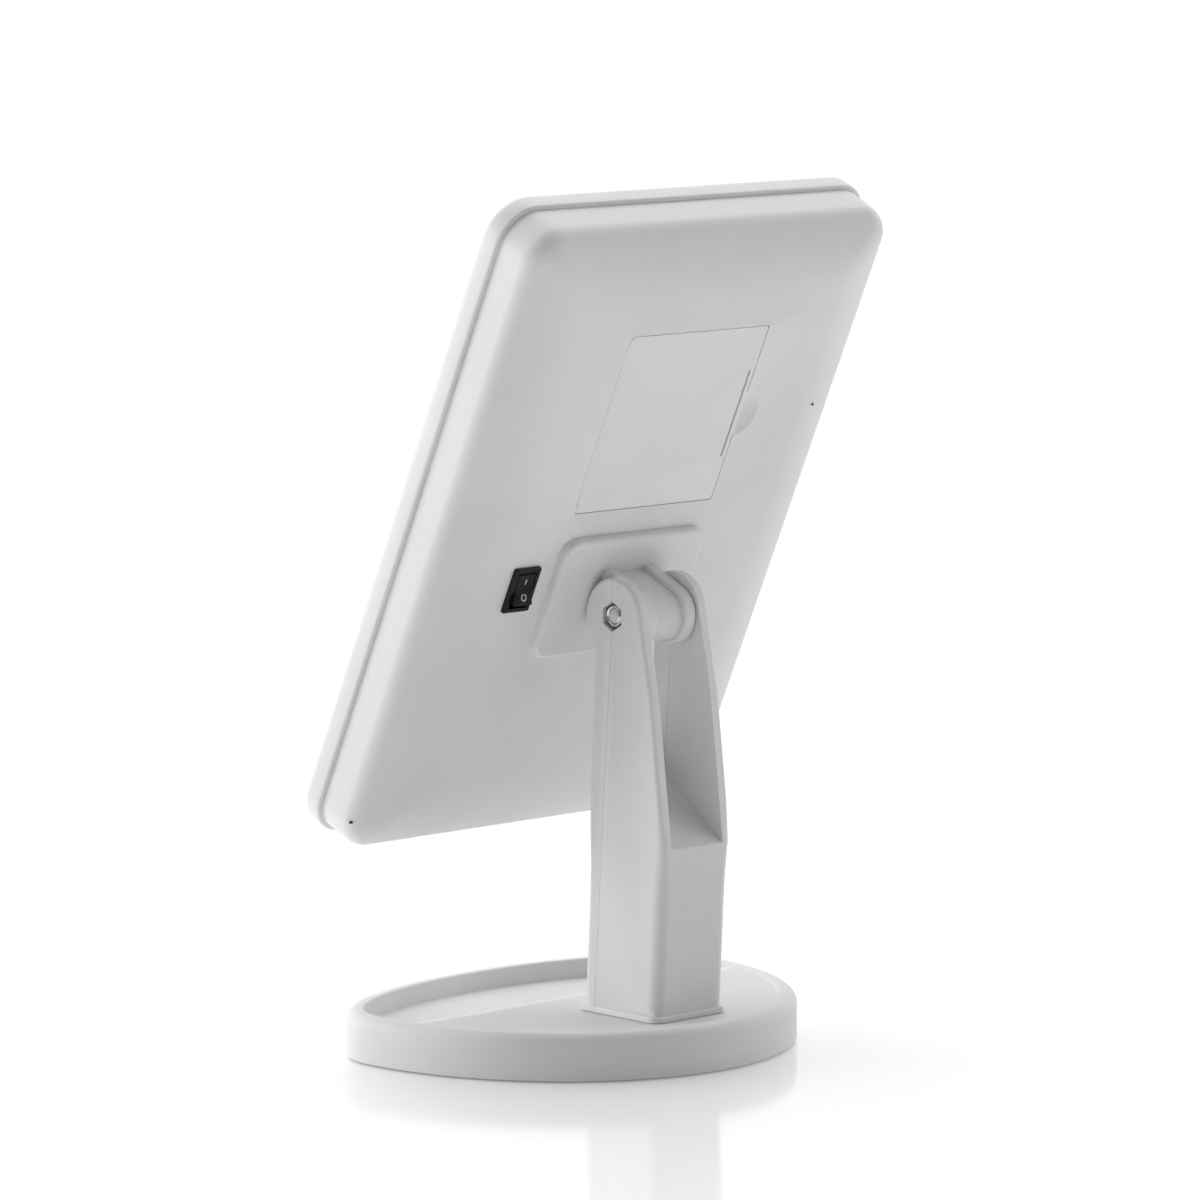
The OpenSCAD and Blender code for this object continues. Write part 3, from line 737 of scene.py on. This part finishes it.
def bezel_sections():
    """The bezel's cross-section as (inset, n): tongue in the shell, back, face and rabbet for the glass."""
    tongue = BEZEL_W - SHELL_W + SKIN + 0.15
    back_n = GROOVE_N - BEZEL_GAP
    sections = [(tongue, GROOVE_N + TONGUE_H), (tongue, back_n)]
    for turn in quarter(4):
        sections.append((BEZEL_BACK_R * (1 - math.sin(turn)), back_n - BEZEL_BACK_R * (1 - math.cos(turn))))
    for turn in quarter(8):
        sections.append((BEZEL_FRONT_R * (1 - math.cos(turn)),
                         FRONT_N + BEZEL_FRONT_R * (1 - math.sin(turn))))
    for turn in quarter(4):
        sections.append((BEZEL_RIM - BEZEL_LIP_R * (1 - math.sin(turn)),
                         FRONT_N + BEZEL_LIP_R * (1 - math.cos(turn))))
    return sections + [(BEZEL_RIM, FRONT_N + LIP_DEPTH), (BEZEL_RIM - RABBET, FRONT_N + LIP_DEPTH),
                       (BEZEL_RIM - RABBET, GROOVE_N + TONGUE_H)]


def tube(loops):
    """Closed band through loops of points, the last joined to the first."""
    bm = bmesh.new()
    rings = [[bm.verts.new(point) for point in loop] for loop in loops]
    bridge(bm, rings + [rings[0]])
    return bm


def bezel():
    """Frame round the mirror, proud of the shell."""
    outer_r = SHELL_R + 1.5
    loops = [head_ring(BEZEL_W - inset, BEZEL_H - inset, max(2.0, outer_r - inset * 0.85), n)
             for inset, n in bezel_sections()]
    piece = add_object("bezel_frame", tube(loops), HEAD, sharp_deg=50)
    finish_piece(piece, "head", "white_bezel", BEZEL, "front_bezel")


bezel()

# ---------------------------------------------------------------- column foot

def column_foot():
    """Flange round the column's foot, slotted where the two shells meet."""
    middle = hinge.y + (FOOT_FRONT + FOOT_REAR) / 2
    half_d = (FOOT_REAR - FOOT_FRONT) / 2 + FLANGE_OUT
    bm = slab("z", round_rect(COLUMN_W + FLANGE_OUT, half_d, CORNER_R, 8, (0, middle)),
              FOOT_Z + 0.12, FOOT_Z + FLANGE_H, 0.15, 0.7)
    flange = add_object("column_flange", bm)
    seam = hinge.y + SEAM_FOOT
    combine(flange, [block((-COLUMN_W - 5, seam - SEAM_GAP, FOOT_Z - 1),
                                    (COLUMN_W + 5, seam + SEAM_GAP, FOOT_Z + 5))])
    even_out(flange)
    finish_piece(flange, "stand", "white_shell", WHITE)


column_foot()

# ---------------------------------------------------------------- hinge

PLATE_TOP = -12.4
PLATE_HALF_H, PLATE_U, PLATE_R, PLATE_ROUND = 20.95, -0.65, 6.0, 1.5
EAR_R, EAR_IN, EAR_OUT, EAR_ROUND = 9.5, 6.0, 10.6, 0.8
BARREL_R = 7.9
NUT_R = 4.6
THREAD_R = 2.52


def bolt():
    """Bolt through both arms: a pan head with a cross recess, and a turned tip."""
    low, high = local_box("hinge_bolt")
    head = [(0, 3.4), (0, 3.6), (0.3, 4.3), (0.8, 4.6), (2.5, 4.6), (2.5, 2.5)]
    tip = [(high.x - 0.7, 2.5), (high.x - 0.1, 2.0), (high.x, 1.7)]
    profile = [(low.x + step, radius) for step, radius in head] + tip
    piece = add_object("bolt", turned("x", (hinge.y, hinge.z), profile), sharp_deg=30)
    combine(piece, [block((low.x - 1, hinge.y - dy, hinge.z - dz), (low.x + 1.3, hinge.y + dy, hinge.z + dz))
                    for dy, dz in ((2.6, 0.45), (0.45, 2.6))])
    even_out(piece, 30)
    finish_piece(piece, "stand", "plated_steel", SHINY, "hinge_bolt")


def nut():
    """Hexagon nut with turned corners, dark partly from its steel and partly as painted shade for its deep
    pocket, and its bright locking collar.
    """
    low, high = local_box("hinge_nut")
    centre = (hinge.y, hinge.z)
    body_top = low.x + 1.5
    body = add_object("nut", slab("x", hexagon(NUT_R, -1), low.x, body_top))
    corners = turned("x", centre, [(low.x - 1, 7), (body_top - 0.9, 5.1), (body_top, 4.0)])
    combine(body, [corners], operation="INTERSECT")
    combine(body, [turned("x", centre, [(low.x - 1, THREAD_R), (body_top + 1, THREAD_R)])])
    even_out(body, 25)
    finish_piece(body, "stand", "plated_steel", DARK_STEEL_AND_SHADE, "hinge_nut")
    foot = low.x + 1.2
    collar = ((foot, 3.4), (high.x - 0.5, 3.4), (high.x - 0.15, 3.25), (high.x, 3.0),
              (high.x - 0.1, 2.75), (high.x - 0.4, THREAD_R), (foot, THREAD_R))
    loops = [[(level, y, z) for y, z in circle(*centre, radius, 40)] for level, radius in collar]
    finish_piece(add_object("nut_collar", tube(loops), sharp_deg=40), "stand", "plated_steel", SHINY)


def ear_outline(radius, centre_n, foot_n):
    """Side view of an ear in N and U: straight from its foot, with a round end."""
    return [(foot_n, -radius)] + arc(centre_n, 0, radius, -90, 90, 28) + [(foot_n, radius)]


def bracket():
    """Plate on the head's back with two ears and a thinner barrel between them."""
    low, high = local_box("tilt_bracket", HEAD)
    centre_n = high.y - EAR_R
    outline = round_rect(high.x, PLATE_HALF_H, PLATE_R, 10, (0, PLATE_U))
    piece = add_object("tilt_plate", slab("y", outline, low.y, PLATE_TOP, 0, PLATE_ROUND, 6), HEAD)
    ear = ear_outline(EAR_R, centre_n, PLATE_TOP - 1.6)
    ears = [slab("x", ear, *sorted((side * EAR_IN, side * EAR_OUT)), EAR_ROUND, EAR_ROUND)
            for side in (-1, 1)]
    barrel = slab("x", ear_outline(BARREL_R, centre_n, PLATE_TOP - 1.2), -EAR_IN - 1.1, EAR_IN + 1.1)
    combine(piece, [barrel] + ears, HEAD, "UNION")
    combine(piece, [turned("x", (0, 0), [(-20, BORE_R), (20, BORE_R)])], HEAD)
    even_out(piece, 42)
    finish_piece(piece, "head", "white_shell", WHITE, "tilt_bracket")


bolt()
nut()
bracket()

# ---------------------------------------------------------------- battery door and cells

CELL_PITCH = 14.5
CELL_SPOTS = [(i - 1.5) * CELL_PITCH for i in range(4)]


def battery_door():
    """Flat lid with its latch slit."""
    piece = add_object("battery_lid", slab("y", door_outline(0), door_low.y, door_high.y, 0, 0.25, 2), HEAD)
    latch_x = door_low.x + 2
    slit = slab("y", round_rect(0.4, 15.3, 0.35, 3, (latch_x, DOOR_U)), door_low.y - 1, door_high.y + 1)
    combine(piece, [slit], HEAD)
    even_out(piece, 30)
    finish_piece(piece, "door", "white_shell", WHITE, "battery_door")


def cells():
    """Four cells side by side, each with a coppery band near its button."""
    low, high = local_box("batteries", HEAD)
    radius = (high.y - low.y) / 2
    centre_n = (low.y + high.y) / 2
    top = high.z
    band_foot = top - (top - low.z) * 0.24
    body = [(low.z, radius - 2), (low.z, radius - 0.5), (low.z + 0.5, radius), (top - 1.9, radius),
            (top - 1.4, radius - 0.5), (top - 1.2, 3.2), (top - 1.2, 2.75), (top - 0.2, 2.75), (top, 2.4)]
    band = [(band_foot, radius - 0.1), (band_foot, radius + 0.03),
            (top - 2.2, radius + 0.03), (top - 2.2, radius - 0.1)]
    for i, x in enumerate(CELL_SPOTS):
        cell = add_object(f"cell_{i + 1}", turned("z", (x, centre_n), body, 40), HEAD, 35)
        finish_piece(cell, "head", "cell_jacket", JACKET, "batteries")
        sleeve = add_object(f"cell_band_{i + 1}", turned("z", (x, centre_n), band, 40), HEAD, 35)
        finish_piece(sleeve, "head", None, BAND)


def spring(name, x, centre_n, foot, height):
    """Conical coil in the head's directions, wide at its foot."""
    curve = bpy.data.curves.new("spring", "CURVE")
    curve.dimensions = "3D"
    curve.bevel_depth = 0.3 * MM
    curve.bevel_resolution = 2
    line = curve.splines.new("POLY")
    turns, steps = 4, 96
    line.points.add(steps)
    for k in range(steps + 1):
        t = k / steps
        radius = 3.8 - 1.4 * t
        angle = 2 * math.pi * turns * t
        spot = HEAD @ Vector((x + radius * math.cos(angle), centre_n + radius * math.sin(angle),
                              foot + height * t))
        line.points[k].co = (*(spot * MM), 1)
    coil = bpy.data.objects.new(name, curve)
    bpy.context.scene.collection.objects.link(coil)
    return coil


def contact_springs():
    """Plates at both ends of the battery tray and a spring under each cell's flat end."""
    low, high = local_box("battery_contacts", HEAD)
    cell_low, cell_high = local_box("batteries", HEAD)
    centre_n = (cell_low.y + cell_high.y) / 2
    thick = 0.5
    for i, x in enumerate(CELL_SPOTS):
        for name, level in (("plate_low", low.z), ("plate_high", high.z - thick)):
            plate = slab("z", round_rect(5, 5, 1, 3, (x, centre_n)), level, level + thick, 0.1, 0.1, 2)
            piece = add_object(f"contact_{name}_{i + 1}", plate, HEAD)
            finish_piece(piece, "head", "plated_steel", SHINY, "battery_contacts")
        coil = spring(f"contact_spring_{i + 1}", x, centre_n, low.z + 0.8, cell_low.z - low.z - 1.1)
        finish_piece(coil, "head", "plated_steel", SHINY)


battery_door()
cells()
contact_springs()

# ---------------------------------------------------------------- switch

def switch_frame():
    """Bevelled frame with a body behind it and a well for the rocker."""
    low, high = local_box("switch_housing", HEAD)
    middle = ((low.x + high.x) / 2, (low.z + high.z) / 2)
    half_w, half_h = (high.x - low.x) / 2, (high.z - low.z) / 2
    frame_bm = slab("y", round_rect(half_w, half_h, 0.8, 4, middle), BACK_N + 0.05, high.y, 0.1, 0.7, 4)
    housing = add_object("switch_frame", frame_bm, HEAD)
    body = slab("y", round_rect(4.4, 6.7, 0.4, 3, middle), low.y, BACK_N + 0.2)
    combine(housing, [body], HEAD, "UNION")
    well = slab("y", round_rect(3.8, 6.2, 0.3, 3, middle), BACK_N - 6.4, high.y + 1)
    combine(housing, [well], HEAD)
    soften(housing, 0.18, 35, 2)
    finish_piece(housing, "head", "black_shell", BLACK, "switch_housing")


def switch():
    """Black rocker switch, pressed in at the top."""
    switch_frame()
    pivot = HEAD.inverted() @ (Vector(joints["rocker_throw"]["pos_m"]) / MM)
    half_throw = math.radians(joints["rocker_throw"]["range_deg"][1] / 2)
    space = HEAD @ Matrix.Translation(pivot) @ Matrix.Rotation(half_throw, 4, "X")
    rocker = add_object("switch_key", slab("x", rocker_side(), -3.5, 3.5, 0.35, 0.35, 3), space, 30)
    finish_piece(rocker, "rocker", "black_shell", BLACK, "switch_rocker")
    switch_marks(space)


def rocker_side():
    """Side view of the rocker in N and U from its pivot: two slightly hollow faces that meet in a V."""
    lower = [(-1.6, -4.0), (1.0, -5.2), (3.8, -5.02), (4.1, -4.9), (4.15, -4.5), (3.55, -2.4),
             (3.1, -0.4)]
    return lower + [(n, -u) for n, u in reversed(lower)]


def switch_marks(space):
    """Raised I on the upper face and O on the lower one."""
    lift = math.atan2(0.6, 2.1)
    for name, u, tilt in (("mark_on", 2.5, lift), ("mark_off", -2.5, -lift)):
        level = 3.55 + (abs(u) - 2.4) * math.tan(lift)
        place = space @ Matrix.Translation((0, level, u)) @ Matrix.Rotation(-tilt, 4, "X")
        if name == "mark_on":
            bm = slab("y", round_rect(0.17, 0.95, 0.1, 2), -0.05, 0.05)
        else:
            angles = [2 * math.pi * k / 32 for k in range(32)]
            bm = tube([[(r * math.cos(a), n, 1.15 * r * math.sin(a)) for a in angles]
                       for r, n in ((1.05, -0.05), (1.05, 0.05), (0.75, 0.05), (0.75, -0.05))])
        finish_piece(add_object(name, bm, place), "rocker", None, MARKS)


switch()

# ---------------------------------------------------------------- front of the mirror

STRIP_HALF_W = 5.5
STRIP_GAP = 0.05


def glass():
    """Silvered glass with a slot for each diffuser and a hole for the touch pad."""
    low, high = local_box("mirror_glass", HEAD)
    strip_low, strip_high = local_box("light_diffusers", HEAD)
    pad_low, pad_high = local_box("touch_pad", HEAD)
    outline = round_rect(high.x, (high.z - low.z) / 2, 8, 10, (0, (high.z + low.z) / 2))
    piece = add_object("glass", slab("y", outline, low.y, high.y, 0.2, 0.2, 2), HEAD)
    strip_x = strip_high.x - STRIP_HALF_W
    middle, half_h = (strip_low.z + strip_high.z) / 2, (strip_high.z - strip_low.z) / 2
    grown = STRIP_HALF_W + STRIP_GAP
    slots = [slab("y", round_rect(grown, half_h + STRIP_GAP, STRIP_HALF_W, 12, (side * strip_x, middle)),
                  low.y - 1, high.y + 1) for side in (-1, 1)]
    hole = circle(0, (pad_low.z + pad_high.z) / 2, pad_high.x + STRIP_GAP)
    combine(piece, slots + [slab("y", hole, low.y - 1, high.y + 1)], HEAD)
    even_out(piece, 30)
    finish_piece(piece, "head", "mirror_face", MIRROR, "mirror_glass")
    for side, name in ((-1, "diffuser_right"), (1, "diffuser_left")):
        outline = round_rect(STRIP_HALF_W, half_h, STRIP_HALF_W - 0.02, 12, (side * strip_x, middle))
        strip = slab("y", outline, low.y + 0.02, high.y, 0.35, 0, 3)
        finish_piece(add_object(name, strip, HEAD), "head", "frosted", MILK, "light_diffusers")


def touch_button():
    """Round touch pad with a raised rim and a stem through the carrier."""
    low, high = local_box("mirror_glass", HEAD)
    pad_low, pad_high = local_box("touch_pad", HEAD)
    radius = pad_high.x
    face = [(0.3, 1.3), (0.05, 1.1), (0, 0.9), (0, 0.25), (0.25, 0)]
    profile = [(low.y + step, radius - inset) for step, inset in face]
    profile += [(high.y, radius), (high.y, 2.9), (pad_high.y, 2.9)]
    button = turned("y", (0, (pad_low.z + pad_high.z) / 2), profile, 64)
    finish_piece(add_object("touch_button", button, HEAD, 25), "head", "pad_metal", SPUN, "touch_pad")


glass()
touch_button()

# ---------------------------------------------------------------- underside

def cover():
    """Cover plate with recesses for the screws and feet."""
    low, high = local_box("base_cover")
    outline = [egg(3.2, 2 * math.pi * k / 96) for k in range(96)]
    plate = add_object("cover_plate", slab("z", outline, low.z, high.z, 0.4, 0.2, 2))
    screws, feet = spots("cover_screws"), spots("base_feet")
    wells = [slab("z", circle(x, y, 2.7, 32), low.z - 1, low.z + 1.2) for x, y in screws]
    wells += [slab("z", circle(x, y, 1.5, 24), low.z - 2, high.z + 1) for x, y in screws]
    wells += [slab("z", circle(x, y, 4, 32), low.z - 1, high.z + 1) for x, y in spots("column_screws")]
    wells += [slab("z", circle(x, y, 5.05, 40), low.z - 1, low.z + 0.8) for x, y in feet]
    combine(plate, [merged(*wells[4 * k:4 * k + 4]) for k in range(4)])
    even_out(plate, 30)
    finish_piece(plate, "stand", "white_shell", WHITE, "base_cover")


def feet():
    """Rubber feet with a rounded rim."""
    low, high = local_box("base_feet")
    profile = [(low.z, 3.2), (low.z, 4.4), (low.z + 0.15, 4.8), (low.z + 0.4, 5.0), (high.z, 5.0)]
    for k, (x, y) in enumerate(spots("base_feet")):
        foot = add_object(f"foot_{k + 1}", turned("z", (x, y), profile), sharp_deg=50)
        finish_piece(foot, "stand", "soft_pad", PAD, "base_feet")


def spots(node):
    """Centres in X and Y of a node's separate solids."""
    mesh = bmesh.new()
    mesh.from_mesh(nodes[node].data)
    bmesh.ops.remove_doubles(mesh, verts=mesh.verts, dist=0.000001)
    left = set(mesh.verts)
    centres = []
    while left:
        group, queue = [], [left.pop()]
        while queue:
            vert = queue.pop()
            group.append(vert.co / MM)
            for edge in vert.link_edges:
                other = edge.other_vert(vert)
                if other in left:
                    left.remove(other)
                    queue.append(other)
        xs, ys = [c.x for c in group], [c.y for c in group]
        centres.append((round((min(xs) + max(xs)) / 2, 2), round((min(ys) + max(ys)) / 2, 2)))
    mesh.free()
    return sorted(centres)


def screw_heads(node, radius, height):
    """Pan-head screws with a cross recess, heads down."""
    low, high = local_box(node)
    foot = low.z
    profile = [(foot, radius * 0.6), (foot + 0.1, radius * 0.85), (foot + height * 0.4, radius),
               (foot + height, radius), (foot + height, 1.1), (high.z - 1, 1.1), (high.z, 0.5)]
    for k, (x, y) in enumerate(spots(node)):
        screw = add_object(f"{node}_{k + 1}", turned("z", (x, y), profile, 32), sharp_deg=40)
        combine(screw, [block((x - a, y - b, foot - 1), (x + a, y + b, foot + height * 0.6))
                        for a, b in ((radius * 0.6, 0.3), (0.3, radius * 0.6))])
        even_out(screw, 40)
        finish_piece(screw, "stand", "steel_part", STEEL, node)


cover()
feet()
screw_heads("cover_screws", 2.5, 1.0)
screw_heads("column_screws", 3.0, 1.6)

# ---------------------------------------------------------------- CAD pieces carried over

CAD_LOOKS = {"ballast": STEEL, "hinge_washers": STEEL, "bracket_screws": STEEL, "carrier_screws": STEEL,
             "backing_plate": INNER, "led_strips": BOARD, "leds": LENS, "control_board": BOARD,
             "battery_tray": INNER, "wires": SLEEVE, "switch_terminals": BRASS}
for node_name, look in CAD_LOOKS.items():
    nodes[node_name].data.materials.clear()
    nodes[node_name].data.materials.append(look)


# ---------------------------------------------------------------- stage, light and camera

ROOM_LEVEL, BACKDROP_LEVEL = 0.12, 1.08


def ground():
    """Wide pale floor with a soft gloss."""
    bm = bmesh.new()
    bmesh.ops.create_grid(bm, x_segments=1, y_segments=1, size=20000)
    floor = add_object("floor", bm)
    s = Shader("floor_acrylic")
    s.set(Base_Color=s.mix(s.noise(3.0), shade([0.93] * 3), shade([0.95] * 3)), Roughness=0.12)
    s.set(Emission_Color=(1, 1, 1, 1), Emission_Strength=0.1)
    floor.data.materials.append(s.material)


def toward(azimuth, elevation):
    """Direction from the object; azimuth 0 is the front."""
    a, e = math.radians(azimuth), math.radians(elevation)
    return Vector((math.sin(a) * math.cos(e), -math.cos(a) * math.cos(e), math.sin(e)))


def area_light(name, azimuth, elevation, distance, size, power):
    """Soft box that looks at the object's middle."""
    away = toward(azimuth, elevation)
    data = bpy.data.lights.new(name, "AREA")
    data.shape = "RECTANGLE"
    data.size, data.size_y = size
    data.energy = power
    lamp = bpy.data.objects.new(name, data)
    lamp.location = Vector((0, 0, 0.14)) + away * distance
    lamp.rotation_mode = "QUATERNION"
    lamp.rotation_quaternion = (-away).to_track_quat("-Z", "Y")
    bpy.context.scene.collection.objects.link(lamp)


def studio_world(view_azimuth):
    """White backdrop behind and beside the object, darker room on the camera's side.

    What shows between the object and the frame's edge is plain white.
    """
    world = bpy.data.worlds.new("studio")
    world.use_nodes = True
    tree = world.node_tree
    a = math.radians(view_azimuth + 22)
    place = tree.nodes.new("ShaderNodeTexCoord")
    facing = tree.nodes.new("ShaderNodeVectorMath")
    facing.operation = "DOT_PRODUCT"
    facing.inputs[1].default_value = (-math.sin(a), math.cos(a), 0)
    tree.links.new(place.outputs["Generated"], facing.inputs[0])
    level = tree.nodes.new("ShaderNodeMapRange")
    level.interpolation_type = "SMOOTHSTEP"
    for key, value in (("From Min", -0.75), ("From Max", 0.35),
                       ("To Min", ROOM_LEVEL), ("To Max", BACKDROP_LEVEL)):
        level.inputs[key].default_value = value
    tree.links.new(facing.outputs["Value"], level.inputs["Value"])
    glow = tree.nodes["Background"]
    glow.inputs["Color"].default_value = (1, 1, 1, 1)
    tree.links.new(level.outputs["Result"], glow.inputs["Strength"])
    plain = tree.nodes.new("ShaderNodeBackground")
    plain.inputs["Color"].default_value = (1, 1, 1, 1)
    plain.inputs["Strength"].default_value = 1.0
    seen = tree.nodes.new("ShaderNodeLightPath")
    choose = tree.nodes.new("ShaderNodeMixShader")
    tree.links.new(seen.outputs["Is Camera Ray"], choose.inputs["Fac"])
    tree.links.new(glow.outputs[0], choose.inputs[1])
    tree.links.new(plain.outputs[0], choose.inputs[2])
    tree.links.new(choose.outputs[0], tree.nodes["World Output"].inputs["Surface"])
    bpy.context.scene.world = world


def lighting(view_azimuth):
    """Studio world and three soft boxes, placed from the camera's azimuth."""
    studio_world(view_azimuth)
    area_light("left_box", view_azimuth - 95, 8, 1.2, (0.9, 1.0), 7)
    area_light("right_box", view_azimuth + 105, 12, 1.2, (0.9, 1.0), 2.2)
    area_light("top_box", view_azimuth + 180, 70, 1.3, (1.4, 1.2), 5.5)


def camera():
    """Long lens from behind and to the side, a little above the tray. Gives back its azimuth."""
    azimuth, elevation, distance = 136.31, 7.44, 2062.0
    aim = Vector((11.8, 15.9, 143.3))
    away = toward(azimuth, elevation)
    data = bpy.data.cameras.new("camera")
    data.lens = 199.7
    data.sensor_width = 36.0
    data.clip_end = 50.0
    eye = bpy.data.objects.new("camera", data)
    eye.location = (aim + away * distance) * MM
    eye.rotation_mode = "QUATERNION"
    eye.rotation_quaternion = (-away).to_track_quat("-Z", "Y")
    bpy.context.scene.collection.objects.link(eye)
    bpy.context.scene.camera = eye
    return azimuth


ground()
lighting(camera())
bpy.context.scene.view_settings.view_transform = "Standard"
